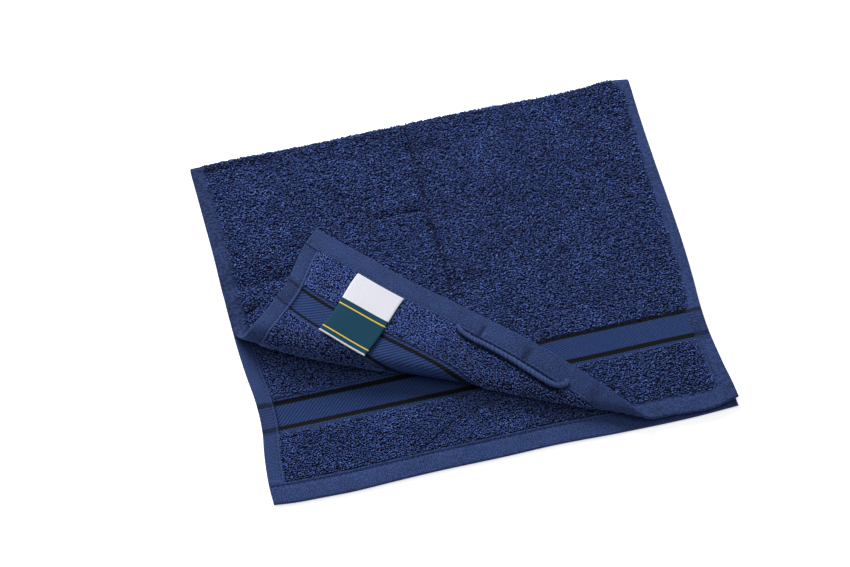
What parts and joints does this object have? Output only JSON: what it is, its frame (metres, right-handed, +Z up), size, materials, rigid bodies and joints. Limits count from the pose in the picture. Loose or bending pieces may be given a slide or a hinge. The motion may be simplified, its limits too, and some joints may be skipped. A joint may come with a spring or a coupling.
{
  "type": "hand towel",
  "caption": "Terry hand towel for drying hands, folded in half, with a front corner of its upper layer turned back to show its hanging loop and sewn-in label.",
  "frame": {"origin": "On the surface that the towel lies on, under the middle of the folded towel's box.", "axes": "+X runs along the towel's front edge, from the side with the turned-back corner to the other side; +Y runs from the open ends to the half fold; +Z is up."},
  "size_m": [0.3016, 0.258, 0.0207],
  "materials": {
    "navy_terry": "matt cotton terry, looped pile on both faces, flat-woven borders",
    "navy_cord": "tightly woven flat cotton cord",
    "white_satin": "smooth woven label tape"
  },
  "bodies": {
    "root": {"towel_cloth": "navy_terry", "hanging_loop": "navy_cord", "label": "white_satin"}
  },
  "joints": []
}
